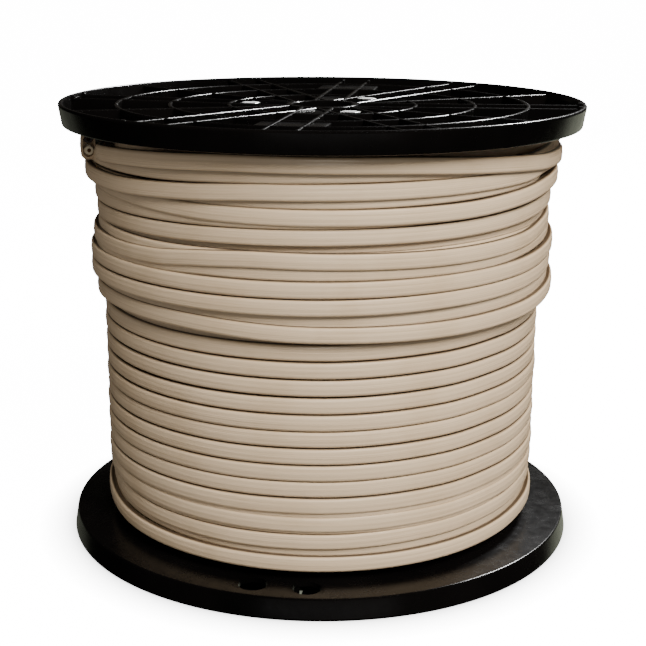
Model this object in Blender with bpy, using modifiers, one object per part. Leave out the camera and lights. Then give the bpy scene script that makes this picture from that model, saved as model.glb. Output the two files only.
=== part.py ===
"""Reel of flat building cable: moulded flanges, drum, wound cable, tie bolts.

Metres, +Z up, origin at the centre of the base. The reel stands on the rim of
its bottom flange. t is the depth of a point below a flange's open outer face.
"""
import math

import bmesh
import bpy
from mathutils import Matrix, Vector

MM = 0.001
GAP = 0.3 * MM

# Reel
HEIGHT = 279.0 * MM
FLANGE_R = 165.0 * MM
RIM_DEPTH = 13.5 * MM
RIM_DRAFT = 2.3 * MM
RIM_WALL = 3.0 * MM
WEB_T = 3.0 * MM
WEB_BACK = RIM_DEPTH - WEB_T
FLANGE_SEGMENTS = 64

# Ribs on the outer side of a flange
RIB_TOP = 3.0 * MM
RIB_WALL = 2.5 * MM
RIB_SINK = WEB_BACK + WEB_T / 3
ARBOR_R = 19.0 * MM
HUB_R = 23.0 * MM
RIB_BITE = 0.2 * MM
BAR_REACH = FLANGE_R - RIM_WALL - RIB_BITE
PAIR_OFFSET = 11.0 * MM
PAD_PAIR_OFFSET = 9.3 * MM
PAIR_ANGLES = (51.0, 111.0, 171.0)
PAD_ANGLE = 81.0
SINGLE_ANGLES = (21.0, 141.0)
PAD_WIDTH = 41.0 * MM
SMALL_PAD_WIDTH = 18.0 * MM
PAD_TOP = 4.0 * MM

# Through holes beside the pad ribs, and the lugs at the rim
CABLE_HOLE_R = 8.5 * MM
CABLE_HOLE_IN = 16.0 * MM
CABLE_HOLE_AT = FLANGE_R - CABLE_HOLE_IN
CABLE_HOLE_SPREAD = 6.15
LUG_WIDTH = 3.6 * MM
LUG_DEPTH = 3.0 * MM
LUG_TOP = 0.2 * MM

# The axis that one flange is turned over about to make the other
TURN_OVER_ANGLE = 171.0

# Drum between the flanges
DRUM_R = 56.0 * MM
DRUM_WALL = 3.0 * MM
DRUM_SEGMENTS = 48
SPIGOT_R = DRUM_R - DRUM_WALL - GAP
SPIGOT_WALL = 2.1 * MM
SPIGOT_RISE = 3.0 * MM
RING_RIBS = (FLANGE_R * 0.782, FLANGE_R * 0.582, DRUM_R + DRUM_WALL)

# Tie bolts
BOLT_IN = 6.5 * MM
BOLT_AT = DRUM_R - DRUM_WALL - BOLT_IN
BOLT_ANGLES = (51.0, 171.0, 291.0)
BOLT_R = 3.2 * MM
BOLT_HOLE_R = BOLT_R + GAP
BOSS_R = 9.0 * MM
BOSS_RISE = 2.0 * MM
BOSS_TOP = WEB_BACK - BOSS_RISE
WASHER_R = 8.0 * MM
WASHER_T = 1.3 * MM
WASHER_FACE = BOSS_TOP - GAP - WASHER_T
HEX_R = 6.35 * MM
HEAD_SEAT = WASHER_FACE - GAP
HEAD_T = 3.4 * MM
NUT_T = 3.4 * MM
BOLT_TIP = 1.6 * MM
BOLT_SEGMENTS = 16

# Wound cable. UP and OUT are one millimetre of height and of radius as measured on a
# reel 279 high and 330 across, so the turns stay between the flanges of any other reel.
UP = HEIGHT / 279
OUT = FLANGE_R / 165
WINDING_SEGMENTS = 48
WINDING_FOOT_R = 126.0 * OUT
UNDER_FOOT_R = 134.0 * OUT
UNDER_TOP_R = 146.0 * OUT
TURN_HALF = 4.95 * UP
TURN_EDGE = 1.0 * UP
TURN_GAP = 0.3 * UP
UNDER_DEPTH = 2.8 * OUT

# The neat lower turns: the middle of each at the front, and how the run climbs round the reel
LEVELS = (49.3, 59.9, 70.0, 79.9, 90.1, 100.4, 110.3, 120.4, 131.0, 141.4, 151.8)
LEVEL_R = 139.9
LEVEL_CLIMB = ((-170, 0.3), (-120, 0.1), (-90, 0.0), (-60, 1.0), (-20, 3.6), (30, 5.2), (90, 7.0), (150, 9.2))

# The turns that aren't level: radius, then the height of the middle at each bearing
BEARINGS = (-170, -130, -90, -50, -20, 20, 90, 150)
FOOT_TURNS = ((140.6, (29.5, 24.3, 23.9, 25.0, 27.5, 28.2, 28.8, 30.0)),
              (139.0, (41.2, 37.3, 37.3, 39.3, 41.8, 43.4, 46.0, 48.2)))
CROSSING_TURNS = ((145.4, (164.9, 166.2, 163.6, 163.4, 167.3, 173.5, 172.0, 168.0)),
                  (147.0, (177.6, 178.1, 179.0, 180.7, 182.6, 187.0, 186.0, 180.6)),
                  (147.4, (188.6, 189.2, 189.5, 190.5, 193.2, 200.0, 199.0, 192.5)),
                  (147.0, (200.0, 201.0, 205.4, 205.2, 208.8, 214.0, 213.0, 206.0)),
                  (145.0, (216.2, 217.3, 218.4, 220.0, 223.3, 225.8, 225.0, 219.5)),
                  (147.6, (236.0, 231.6, 229.5, 230.6, 234.0, 237.4, 237.0, 236.6)),
                  (149.4, (239.3, 240.0, 243.5, 244.9, 248.3, 248.4, 248.0, 244.0)),
                  (152.4, (251.0, 256.6, 258.8, 254.6, 249.8, 251.5, 259.0, 258.6)))

# Free end of the cable
CABLE_WIDTH = 9.9 * MM
CABLE_T = 4.3 * MM
END_SEAT_R = 149.2 * OUT
END_INNER_R = END_SEAT_R + GAP
END_DROP = 13.0 * MM
END_MIDDLE_Z = HEIGHT - RIM_DEPTH - END_DROP
END_START = 100.0
END_STOP = 192.0
END_EDGE = 1.4 * MM
END_SEGMENTS = 64
END_CLEARANCE = 8.0


def material(name, colour, roughness, metallic=0.0):
    """Return a plain Principled material."""
    mat = bpy.data.materials.new(name)
    mat.use_nodes = True
    shader = mat.node_tree.nodes["Principled BSDF"]
    shader.inputs["Base Color"].default_value = (*colour, 1.0)
    shader.inputs["Roughness"].default_value = roughness
    shader.inputs["Metallic"].default_value = metallic
    mat.diffuse_color = (*colour, 1.0)
    return mat


def add_object(name, bm, collection, mat=None, place=None):
    """Turn a bmesh into a named object of the collection."""
    mesh = bpy.data.meshes.new(name)
    bm.to_mesh(mesh)
    bm.free()
    obj = bpy.data.objects.new(name, mesh)
    collection.objects.link(obj)
    if mat is not None:
        mesh.materials.append(mat)
    if place is not None:
        obj.matrix_world = place
    return obj


def lathe(name, profile, segments, collection, mat=None, place=None):
    """Turn a closed profile of (radius, height) about Z with a Screw."""
    bm = bmesh.new()
    verts = [bm.verts.new((r, 0.0, z)) for r, z in profile]
    for i, vert in enumerate(verts):
        bm.edges.new((vert, verts[(i + 1) % len(verts)]))
    obj = add_object(name, bm, collection, mat, place)
    screw = obj.modifiers.new("turn", "SCREW")
    screw.angle = 2.0 * math.pi
    screw.steps = segments
    screw.render_steps = segments
    screw.use_merge_vertices = True
    screw.merge_threshold = 0.00005
    screw.use_smooth_shade = False
    return obj


def prism(name, outline, low, high, collection, mat=None, place=None):
    """Raise a plan outline, given anticlockwise, from low to high."""
    bm = bmesh.new()
    base = [bm.verts.new((x, y, low)) for x, y in outline]
    top = [bm.verts.new((x, y, high)) for x, y in outline]
    bm.faces.new(list(reversed(base)))
    bm.faces.new(top)
    for i in range(len(outline)):
        j = (i + 1) % len(outline)
        bm.faces.new((base[i], base[j], top[j], top[i]))
    return add_object(name, bm, collection, mat, place)


def circle_outline(radius, segments, centre=(0.0, 0.0), phase=0.0):
    """Return the corners of a regular polygon, anticlockwise."""
    step = 2.0 * math.pi / segments
    return [(centre[0] + radius * math.cos(phase + i * step),
             centre[1] + radius * math.sin(phase + i * step)) for i in range(segments)]


def bar_outline(angle, along, across):
    """Return a rectangle given by its ranges along and across a direction."""
    ca = math.cos(math.radians(angle))
    sa = math.sin(math.radians(angle))
    corners = ((along[0], across[0]), (along[1], across[0]),
               (along[1], across[1]), (along[0], across[1]))
    return [(u * ca - v * sa, u * sa + v * ca) for u, v in corners]


def polar(radius, angle):
    """Return the plan point at a radius and an angle in degrees."""
    return (radius * math.cos(math.radians(angle)), radius * math.sin(math.radians(angle)))


def boolean(obj, operation, operand):
    """Add an exact Boolean with an object or a collection."""
    mod = obj.modifiers.new(operation.lower(), "BOOLEAN")
    mod.operation = operation
    mod.solver = "EXACT"
    if isinstance(operand, bpy.types.Collection):
        mod.operand_type = "COLLECTION"
        mod.collection = operand
    else:
        mod.object = operand
    return mod


def sub_collection(name, parent):
    """Return a new collection under the parent."""
    collection = bpy.data.collections.new(name)
    parent.children.link(collection)
    return collection


def flange_profile():
    """Return the section of a flange, heights counted from its open face."""
    inner_r = FLANGE_R - RIM_DRAFT
    profile = [(inner_r, RIM_DEPTH), (FLANGE_R, 0.0), (FLANGE_R - RIM_WALL, 0.0),
               (FLANGE_R - RIM_WALL - RIM_DRAFT * WEB_BACK / RIM_DEPTH, WEB_BACK)]
    for radius in RING_RIBS:
        outer = radius + RIB_WALL / 2
        inner = radius - RIB_WALL / 2
        profile += [(outer, WEB_BACK), (outer, RIB_TOP), (inner, RIB_TOP), (inner, WEB_BACK)]
    spigot_in = SPIGOT_R - SPIGOT_WALL
    spigot_top = RIM_DEPTH + SPIGOT_RISE
    profile += [(HUB_R, WEB_BACK), (HUB_R, RIB_TOP), (ARBOR_R, RIB_TOP), (ARBOR_R, RIM_DEPTH),
                (spigot_in, RIM_DEPTH), (spigot_in, spigot_top), (SPIGOT_R, spigot_top),
                (SPIGOT_R, RIM_DEPTH)]
    return profile


def flange_bars():
    """Return (name, outline, top) of each rib, pad, boss and lug."""
    half = RIB_WALL / 2
    reach = (-BAR_REACH, BAR_REACH)
    bars = []
    pairs = [(angle, PAIR_OFFSET) for angle in PAIR_ANGLES] + [(PAD_ANGLE, PAD_PAIR_OFFSET)]
    for angle, offset in pairs:
        for side in (-1, 1):
            across = (side * offset - half, side * offset + half)
            bars.append((f"rib_{angle:.0f}_{side}", bar_outline(angle, reach, across), RIB_TOP + 0.2 * MM))
    for angle in SINGLE_ANGLES:
        bars.append((f"rib_{angle:.0f}", bar_outline(angle, reach, (-half, half)), RIB_TOP + 0.4 * MM))
    for side in (-1, 1):
        wide = sorted((side * RING_RIBS[1], side * RING_RIBS[0]))
        small = sorted((side * (HUB_R + ARBOR_R) / 2, side * RING_RIBS[2]))
        bars.append((f"pad_{side}", bar_outline(PAD_ANGLE, wide, (-PAD_WIDTH / 2, PAD_WIDTH / 2)), PAD_TOP))
        across = (-SMALL_PAD_WIDTH / 2, SMALL_PAD_WIDTH / 2)
        bars.append((f"small_pad_{side}", bar_outline(PAD_ANGLE, small, across), PAD_TOP + 0.2 * MM))
    for angle in BOLT_ANGLES:
        bars.append((f"boss_{angle:.0f}", circle_outline(BOSS_R, 24, polar(BOLT_AT, angle)), BOSS_TOP))
    lug_out = FLANGE_R - 0.7 * RIM_WALL
    lug_in = FLANGE_R - RIM_WALL - LUG_DEPTH
    for angle in PAIR_ANGLES:
        for end in (-1, 1):
            for side in (-1, 1):
                along = sorted((end * lug_in, end * lug_out))
                across = (side * PAIR_OFFSET - LUG_WIDTH / 2, side * PAIR_OFFSET + LUG_WIDTH / 2)
                bars.append((f"lug_{angle:.0f}_{end}_{side}", bar_outline(angle, along, across), LUG_TOP))
    return bars


def build_flange(name, place, parts, cutters, mat):
    """Build one flange moulding and put it in place."""
    flange = lathe(name, flange_profile(), FLANGE_SEGMENTS, parts, mat, place)
    added = sub_collection(f"{name}_added", cutters)
    cut = sub_collection(f"{name}_cut", cutters)
    for label, outline, top in flange_bars():
        prism(f"{name}_{label}", outline, top, RIB_SINK, added, None, place)
    through = (-MM, RIM_DEPTH + MM)
    prism(f"{name}_arbor", circle_outline(ARBOR_R, FLANGE_SEGMENTS), *through, cut, None, place)
    for angle in BOLT_ANGLES:
        outline = circle_outline(BOLT_HOLE_R, BOLT_SEGMENTS, polar(BOLT_AT, angle))
        prism(f"{name}_bolt_{angle:.0f}", outline, *through, cut, None, place)
    for side in (-1, 1):
        centre = polar(CABLE_HOLE_AT, PAD_ANGLE + 180.0 + side * CABLE_HOLE_SPREAD)
        prism(f"{name}_hole_{side}", circle_outline(CABLE_HOLE_R, 24, centre), *through, cut, None, place)
    boolean(flange, "UNION", added)
    boolean(flange, "DIFFERENCE", cut)
    return flange


def build_drum(parts, mat):
    """Build the tube between the flanges."""
    low = RIM_DEPTH + GAP
    high = HEIGHT - RIM_DEPTH - GAP
    inner = DRUM_R - DRUM_WALL
    profile = [(DRUM_R, high), (DRUM_R, low), (inner, low), (inner, high)]
    return lathe("drum", profile, DRUM_SEGMENTS, parts, mat)


def around(table, angle):
    """Read a closed table of (bearing, value), eased between its bearings."""
    turn = (angle - table[0][0]) % 360.0 + table[0][0]
    closed = list(table) + [(table[0][0] + 360.0, table[0][1])]
    for (before, low), (after, high) in zip(closed, closed[1:]):
        if turn <= after:
            t = (turn - before) / (after - before)
            return low + (high - low) * t * t * (3.0 - 2.0 * t)
    return closed[-1][1]


def turns_at(angle):
    """Return (middle height, radius) of each turn at an angle, from the lowest up."""
    turns = [(around(tuple(zip(BEARINGS, heights)), angle), radius) for radius, heights in FOOT_TURNS]
    turns += [(level + around(LEVEL_CLIMB, angle), LEVEL_R) for level in LEVELS]
    turns += [(around(tuple(zip(BEARINGS, heights)), angle), radius) for radius, heights in CROSSING_TURNS]
    past = (angle - END_START + END_CLEARANCE) % 360.0
    seat = END_SEAT_R if past <= END_STOP - END_START + 2.0 * END_CLEARANCE else FLANGE_R
    return [(height * UP, min(radius * OUT, seat)) for height, radius in turns]


def winding_section(angle, low, high):
    """Return the outer side of the winding at an angle, from its foot to its top."""
    turns = turns_at(angle)
    height, radius = turns[0]
    side = [(WINDING_FOOT_R, low), (UNDER_FOOT_R, height - TURN_HALF), (radius, height - TURN_HALF + TURN_EDGE)]
    for (height, radius), (above, above_r) in zip(turns, turns[1:]):
        top = height + TURN_HALF
        bottom = above - TURN_HALF
        if bottom - top < TURN_GAP:
            top = top if radius >= above_r else bottom - TURN_GAP
            bottom = top + TURN_GAP
        floor = min(radius, above_r) - UNDER_DEPTH
        side += [(radius, top - TURN_EDGE), (floor, top), (floor, bottom), (above_r, bottom + TURN_EDGE)]
    height, radius = turns[-1]
    top = height + TURN_HALF
    side += [(radius, top - TURN_EDGE), (UNDER_TOP_R, top), (UNDER_TOP_R, high)]
    for i in range(1, len(side) - 1):
        side[i] = (side[i][0], max(side[i][1], side[i - 1][1] + TURN_GAP / 4))
    return side


def build_winding(parts, mat):
    """Build the wound cable as one solid, lofted between its sections round the drum."""
    bore = DRUM_R + GAP
    low = RIM_DEPTH + GAP
    high = HEIGHT - RIM_DEPTH - GAP
    bm = bmesh.new()
    rings = []
    for i in range(WINDING_SEGMENTS):
        angle = 360.0 * i / WINDING_SEGMENTS
        loop = winding_section(angle, low, high) + [(bore, high), (bore, low)]
        rings.append([bm.verts.new((*polar(r, angle), z)) for r, z in loop])
    for i, ring in enumerate(rings):
        ahead = rings[(i + 1) % WINDING_SEGMENTS]
        for k in range(len(ring)):
            m = (k + 1) % len(ring)
            bm.faces.new((ring[k], ahead[k], ahead[m], ring[m]))
    return add_object("cable_winding", bm, parts, mat)


def build_cable_end(parts, cutters, mat):
    """Build the free end as an arc cut from a turned ring of flat cable."""
    inner = END_INNER_R
    outer = inner + CABLE_T
    low = END_MIDDLE_Z - CABLE_WIDTH / 2
    high = END_MIDDLE_Z + CABLE_WIDTH / 2
    profile = [(outer - END_EDGE, high), (outer, high - END_EDGE), (outer, low + END_EDGE),
               (outer - END_EDGE, low), (inner + END_EDGE, low), (inner, low + END_EDGE),
               (inner, high - END_EDGE), (inner + END_EDGE, high)]
    ring = lathe("cable_end", profile, END_SEGMENTS, parts, mat)
    steps = 4
    far = 1.5 * FLANGE_R
    sweep = (END_STOP - END_START) / steps
    outline = [(0.0, 0.0)] + [polar(far, END_START + i * sweep) for i in range(steps + 1)]
    wedge = prism("cable_end_wedge", outline, low - MM, high + MM, cutters)
    boolean(ring, "INTERSECT", wedge)
    return ring


def washer_profile(low, high):
    """Return the section of a washer between two heights."""
    return [(WASHER_R, high), (WASHER_R, low), (BOLT_HOLE_R, low), (BOLT_HOLE_R, high)]


def build_tie_bolt(number, angle, parts, cutters, mat):
    """Build one bolt through both flanges with its nut and two washers."""
    x, y = polar(BOLT_AT, angle)
    place = Matrix.Translation(Vector((x, y, 0.0)))
    seat = HEIGHT - HEAD_SEAT
    bolt = prism(f"tie_bolt_{number}", circle_outline(BOLT_R, BOLT_SEGMENTS),
                 BOLT_TIP, seat + MM, parts, mat, place)
    head = prism(f"tie_bolt_{number}_head", circle_outline(HEX_R, 6), seat, seat + HEAD_T, cutters, None, place)
    boolean(bolt, "UNION", head)
    nut = prism(f"tie_nut_{number}", circle_outline(HEX_R, 6), HEAD_SEAT - NUT_T, HEAD_SEAT, parts, mat, place)
    bore = prism(f"tie_nut_{number}_bore", circle_outline(BOLT_HOLE_R, BOLT_SEGMENTS),
                 0.0, HEAD_SEAT + MM, cutters, None, place)
    boolean(nut, "DIFFERENCE", bore)
    lower = washer_profile(WASHER_FACE, WASHER_FACE + WASHER_T)
    upper = washer_profile(HEIGHT - WASHER_FACE - WASHER_T, HEIGHT - WASHER_FACE)
    lathe(f"washer_low_{number}", lower, 2 * BOLT_SEGMENTS, parts, mat, place)
    lathe(f"washer_top_{number}", upper, 2 * BOLT_SEGMENTS, parts, mat, place)


def main():
    """Build the reel."""
    for obj in list(bpy.data.objects):
        bpy.data.objects.remove(obj, do_unlink=True)
    root = bpy.context.scene.collection
    parts = sub_collection("cable_reel", root)
    cutters = sub_collection("cutters", root)

    plastic = material("black_plastic", (0.012, 0.012, 0.013), 0.35)
    tube = material("drum_plastic", (0.02, 0.02, 0.02), 0.5)
    jacket = material("cable_jacket", (0.60, 0.50, 0.37), 0.35)
    end_jacket = material("cable_end_jacket", (0.62, 0.52, 0.39), 0.35)
    zinc = material("zinc_steel", (0.70, 0.70, 0.68), 0.3, 1.0)

    axis = Vector((*polar(1.0, TURN_OVER_ANGLE), 0.0))
    turned_over = Matrix.Translation(Vector((0.0, 0.0, HEIGHT))) @ Matrix.Rotation(math.pi, 4, axis)
    build_flange("flange_bottom", Matrix.Identity(4), parts, cutters, plastic)
    build_flange("flange_top", turned_over, parts, cutters, plastic)
    build_drum(parts, tube)
    build_winding(parts, jacket)
    build_cable_end(parts, cutters, end_jacket)
    for number, angle in enumerate(BOLT_ANGLES, start=1):
        build_tie_bolt(number, angle, parts, cutters, zinc)

    for collection in (cutters, *cutters.children):
        for obj in collection.objects:
            obj.hide_render = True
            obj.display_type = "WIRE"


main()
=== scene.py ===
"""A reel of flat building cable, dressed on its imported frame.

Everything is in metres in the frame's own axes: Z up along the reel, -Y towards the camera.
"""
import logging
import math
from dataclasses import dataclass
from enum import Enum

import bmesh
import bpy
from mathutils import Matrix, Vector


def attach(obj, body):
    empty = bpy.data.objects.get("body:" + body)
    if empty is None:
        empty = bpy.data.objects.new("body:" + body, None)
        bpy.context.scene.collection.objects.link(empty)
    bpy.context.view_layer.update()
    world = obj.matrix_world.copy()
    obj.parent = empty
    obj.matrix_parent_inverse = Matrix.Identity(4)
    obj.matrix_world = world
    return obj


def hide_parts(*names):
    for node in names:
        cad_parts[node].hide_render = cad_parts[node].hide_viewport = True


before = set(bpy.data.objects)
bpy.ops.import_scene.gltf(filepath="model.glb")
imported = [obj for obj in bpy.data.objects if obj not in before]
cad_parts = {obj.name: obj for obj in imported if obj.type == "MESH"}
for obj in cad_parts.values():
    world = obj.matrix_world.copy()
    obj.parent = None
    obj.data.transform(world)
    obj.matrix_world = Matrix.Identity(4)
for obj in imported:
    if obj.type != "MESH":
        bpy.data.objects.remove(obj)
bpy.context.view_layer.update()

LOG = logging.getLogger("cable_reel")
MM = 0.001
PHOTO_WIDTH = 646
SENSOR_WIDTH = 36.0
REEL_HEIGHT = 279.0 * MM
BOLT_CIRCLE = 46.5 * MM
BOLT_ANGLES = (51.0, 171.0, 291.0)
SHARP_ANGLE = 0.5
BEVEL_STEPS = 4

Point2 = tuple[float, float]
Point3 = tuple[float, float, float]
Colour = tuple[float, float, float]
WHITE: Colour = (1.0, 1.0, 1.0)
WARM: Colour = (1.0, 0.90, 0.78)
OLIVE: Colour = (0.95, 1.0, 0.78)


class Slot(Enum):
    """The record's material slots."""

    PLASTIC = "black_plastic"
    DRUM = "drum_plastic"
    JACKET = "cable_jacket"
    END_JACKET = "cable_end_jacket"
    ZINC = "zinc_steel"


class Turned(Enum):
    """Which way up a flange moulding is placed."""

    UPRIGHT = "upright"
    OVER = "over"


class Shine(Enum):
    """How a light shows: in the matt shade of a surface, or only as a glint in its gloss."""

    MATT = "matt"
    GLINT = "glint"


class Reach(Enum):
    """Which pieces a light falls on. The reel is its flanges and its fastenings."""

    ALL = "all"
    REEL = "reel"
    FLANGES = "flanges"
    FASTENINGS = "fastenings"
    CABLE = "cable"


# Node helpers

def new_material(name: str) -> tuple[bpy.types.Material, bpy.types.Node]:
    """Make an empty Principled material.

    Args:
        name: The material's name.

    Returns:
        The material and its Principled node.
    """
    mat = bpy.data.materials.new(name)
    mat.use_nodes = True
    return mat, mat.node_tree.nodes["Principled BSDF"]


def add_noise(mat: bpy.types.Material, vector: bpy.types.NodeSocket, scale: float,
              detail: float = 4.0, roughness: float = 0.55) -> bpy.types.Node:
    """Add a noise texture fed by a vector.

    Args:
        mat: The material to add to.
        vector: The coordinates that the noise follows.
        scale: The noise scale.
        detail: The noise detail.
        roughness: The noise roughness.

    Returns:
        The noise node.
    """
    noise = mat.node_tree.nodes.new("ShaderNodeTexNoise")
    noise.inputs["Scale"].default_value = scale
    noise.inputs["Detail"].default_value = detail
    noise.inputs["Roughness"].default_value = roughness
    mat.node_tree.links.new(vector, noise.inputs["Vector"])
    return noise


def add_stretch(mat: bpy.types.Material, vector: bpy.types.NodeSocket,
                scale: Point3) -> bpy.types.NodeSocket:
    """Scale coordinates by a Mapping node.

    Args:
        mat: The material to add to.
        vector: The coordinates to scale.
        scale: The scale on each axis.

    Returns:
        The scaled coordinates.
    """
    mapping = mat.node_tree.nodes.new("ShaderNodeMapping")
    mapping.inputs["Scale"].default_value = scale
    mat.node_tree.links.new(vector, mapping.inputs["Vector"])
    return mapping.outputs["Vector"]


def add_ramp(mat: bpy.types.Material, value: bpy.types.NodeSocket,
             stops: list[tuple[float, Colour]]) -> bpy.types.NodeSocket:
    """Turn a value into a colour by a ramp.

    Args:
        mat: The material to add to.
        value: The value to colour.
        stops: The places and colours along the ramp.

    Returns:
        The colour output.
    """
    ramp = mat.node_tree.nodes.new("ShaderNodeValToRGB")
    elements = ramp.color_ramp.elements
    while len(elements) < len(stops):
        elements.new(0.5)
    for element, (place, colour) in zip(elements, stops):
        element.position = place
        element.color = (*colour, 1.0)
    mat.node_tree.links.new(value, ramp.inputs["Fac"])
    return ramp.outputs["Color"]


def add_range(mat: bpy.types.Material, value: bpy.types.NodeSocket, source: Point2,
              target: Point2) -> bpy.types.NodeSocket:
    """Map a value from one range to another, clamped.

    Args:
        mat: The material to add to.
        value: The value to map.
        source: The range that comes in.
        target: The range that goes out.

    Returns:
        The mapped value.
    """
    node = mat.node_tree.nodes.new("ShaderNodeMapRange")
    node.inputs["From Min"].default_value = source[0]
    node.inputs["From Max"].default_value = source[1]
    node.inputs["To Min"].default_value = target[0]
    node.inputs["To Max"].default_value = target[1]
    mat.node_tree.links.new(value, node.inputs["Value"])
    return node.outputs["Result"]


def add_multiply(mat: bpy.types.Material, first: bpy.types.NodeSocket,
                 second: bpy.types.NodeSocket) -> bpy.types.NodeSocket:
    """Multiply two colours.

    Args:
        mat: The material to add to.
        first: One colour.
        second: The other colour.

    Returns:
        The product.
    """
    mix = mat.node_tree.nodes.new("ShaderNodeMix")
    mix.data_type = "RGBA"
    mix.blend_type = "MULTIPLY"
    mix.inputs[0].default_value = 1.0
    mat.node_tree.links.new(first, mix.inputs[6])
    mat.node_tree.links.new(second, mix.inputs[7])
    return mix.outputs[2]


def add_bump(mat: bpy.types.Material, height: bpy.types.NodeSocket, strength: float,
             distance: float, before: bpy.types.NodeSocket | None = None) -> bpy.types.NodeSocket:
    """Add a bump and return its normal.

    Args:
        mat: The material to add to.
        height: The height that drives it.
        strength: The bump strength.
        distance: The bump height in metres.
        before: The normal of an earlier bump, if there is one.

    Returns:
        The bumped normal.
    """
    bump = mat.node_tree.nodes.new("ShaderNodeBump")
    bump.inputs["Strength"].default_value = strength
    bump.inputs["Distance"].default_value = distance
    mat.node_tree.links.new(height, bump.inputs["Height"])
    if before is not None:
        mat.node_tree.links.new(before, bump.inputs["Normal"])
    return bump.outputs["Normal"]


def feed(mat: bpy.types.Material, shader: bpy.types.Node, **sources: bpy.types.NodeSocket) -> None:
    """Link values to the shader's inputs.

    Args:
        mat: The material to add to.
        shader: Its Principled node.
        sources: The values by the input's name, with _ for a space.
    """
    for label, source in sources.items():
        mat.node_tree.links.new(source, shader.inputs[label.replace("_", " ")])


# Finishes

@dataclass(frozen=True)
class MouldedPlastic:
    """Black moulded plastic: fine grain, soft clouding and light scuffs."""

    name: str = "moulded_black_plastic"
    dark: Colour = (0.0014, 0.0012, 0.0011)
    light: Colour = (0.0034, 0.0028, 0.0025)
    cloud_scale: float = 14.0
    grain_scale: float = 900.0
    scuff_scale: float = 110.0
    wave_height: float = 0.6 * MM
    grain_height: float = 0.1 * MM
    sheen_low: float = 0.20
    sheen_high: float = 0.31
    gloss: float = 0.24

    def build(self) -> bpy.types.Material:
        """Return the material."""
        mat, shader = new_material(self.name)
        place = mat.node_tree.nodes.new("ShaderNodeTexCoord").outputs["Object"]
        cloud = add_noise(mat, place, self.cloud_scale, 5.0).outputs["Fac"]
        grain = add_noise(mat, place, self.grain_scale, 2.0).outputs["Fac"]
        scuff = add_noise(mat, place, self.scuff_scale, 6.0, 0.7).outputs["Fac"]
        waves = add_bump(mat, cloud, 0.08, self.wave_height)
        feed(mat, shader,
             Base_Color=add_ramp(mat, cloud, [(0.3, self.dark), (0.7, self.light)]),
             Roughness=add_range(mat, scuff, (0.35, 0.7), (self.sheen_low, self.sheen_high)),
             Normal=add_bump(mat, grain, 0.02, self.grain_height, waves))
        shader.inputs["Specular IOR Level"].default_value = self.gloss
        return mat


@dataclass(frozen=True)
class JacketPlastic:
    """Cream cable jacket: streaks drawn along the cable, painted shade in the grooves, a soft waxy gloss."""

    name: str = "cream_jacket"
    pale: Colour = (0.635, 0.475, 0.305)
    mid: Colour = (0.555, 0.405, 0.25)
    # Painted shade: the colour of the jacket's narrow sides, so the grooves between turns read dark, with a
    # lighter step over the rounding.
    painted_groove_shade: Colour = (0.095, 0.08, 0.067)
    handled: Colour = (0.88, 0.86, 0.82)
    half_painted_groove_shade: Colour = (0.9, 0.87, 0.83)
    half_width: float = 4.95 * MM
    groove_shade_from: float = 0.83
    groove_shade_to: float = 0.985
    streak_scale: Point3 = (12.0, 1500.0, 1.0)
    fine_scale: Point3 = (300.0, 2600.0, 1.0)
    patch_scale: float = 22.0
    streak_height: float = 0.3 * MM
    fine_height: float = 0.1 * MM
    roughness_low: float = 0.24
    roughness_high: float = 0.40
    gloss: float = 0.5

    def build(self) -> bpy.types.Material:
        """Return the material."""
        mat, shader = new_material(self.name)
        nodes = mat.node_tree.nodes
        links = mat.node_tree.links
        along = nodes.new("ShaderNodeUVMap")
        along.uv_map = "run"
        run = along.outputs["UV"]
        place = nodes.new("ShaderNodeTexCoord").outputs["Object"]
        streak = add_noise(mat, add_stretch(mat, run, self.streak_scale), 1.0, 6.0, 0.6).outputs["Fac"]
        patch = add_noise(mat, place, self.patch_scale, 4.0).outputs["Fac"]
        fine = add_noise(mat, add_stretch(mat, run, self.fine_scale), 1.0, 3.0).outputs["Fac"]
        base = add_ramp(mat, streak, [(0.3, self.mid), (0.62, self.pale)])
        dirt = add_ramp(mat, patch, [(0.25, self.handled), (0.5, WHITE)])
        parts = nodes.new("ShaderNodeSeparateXYZ")
        links.new(run, parts.inputs["Vector"])
        away = nodes.new("ShaderNodeMath")
        away.operation = "ABSOLUTE"
        links.new(parts.outputs["Y"], away.inputs[0])
        # Painted shade: the colour darkens across the rounding towards the narrow sides, standing in for the
        # shade in the grooves between turns.
        groove = (self.groove_shade_from * self.half_width, self.groove_shade_to * self.half_width)
        side = add_range(mat, away.outputs["Value"], groove, (0.0, 1.0))
        shade = add_ramp(mat, side, [(0.0, WHITE), (0.35, self.half_painted_groove_shade), (1.0, self.painted_groove_shade)])
        low = add_bump(mat, streak, 0.5, self.streak_height)
        feed(mat, shader,
             Base_Color=add_multiply(mat, add_multiply(mat, base, dirt), shade),
             Roughness=add_range(mat, streak, (0.3, 0.7), (self.roughness_low, self.roughness_high)),
             Normal=add_bump(mat, fine, 0.15, self.fine_height, low))
        shader.inputs["Specular IOR Level"].default_value = self.gloss
        return mat


@dataclass(frozen=True)
class Insulation:
    """Plain coloured insulation or paper seen at the cut end."""

    name: str
    colour: Colour
    darker: Colour
    roughness: float = 0.4
    metallic: float = 0.0
    grain_scale: float = 700.0
    grain_height: float = 0.15 * MM

    def build(self) -> bpy.types.Material:
        """Return the material."""
        mat, shader = new_material(self.name)
        place = mat.node_tree.nodes.new("ShaderNodeTexCoord").outputs["Object"]
        cloud = add_noise(mat, place, self.grain_scale, 4.0).outputs["Fac"]
        feed(mat, shader,
             Base_Color=add_ramp(mat, cloud, [(0.3, self.darker), (0.65, self.colour)]),
             Normal=add_bump(mat, cloud, 0.3, self.grain_height))
        shader.inputs["Roughness"].default_value = self.roughness
        shader.inputs["Metallic"].default_value = self.metallic
        return mat


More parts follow.
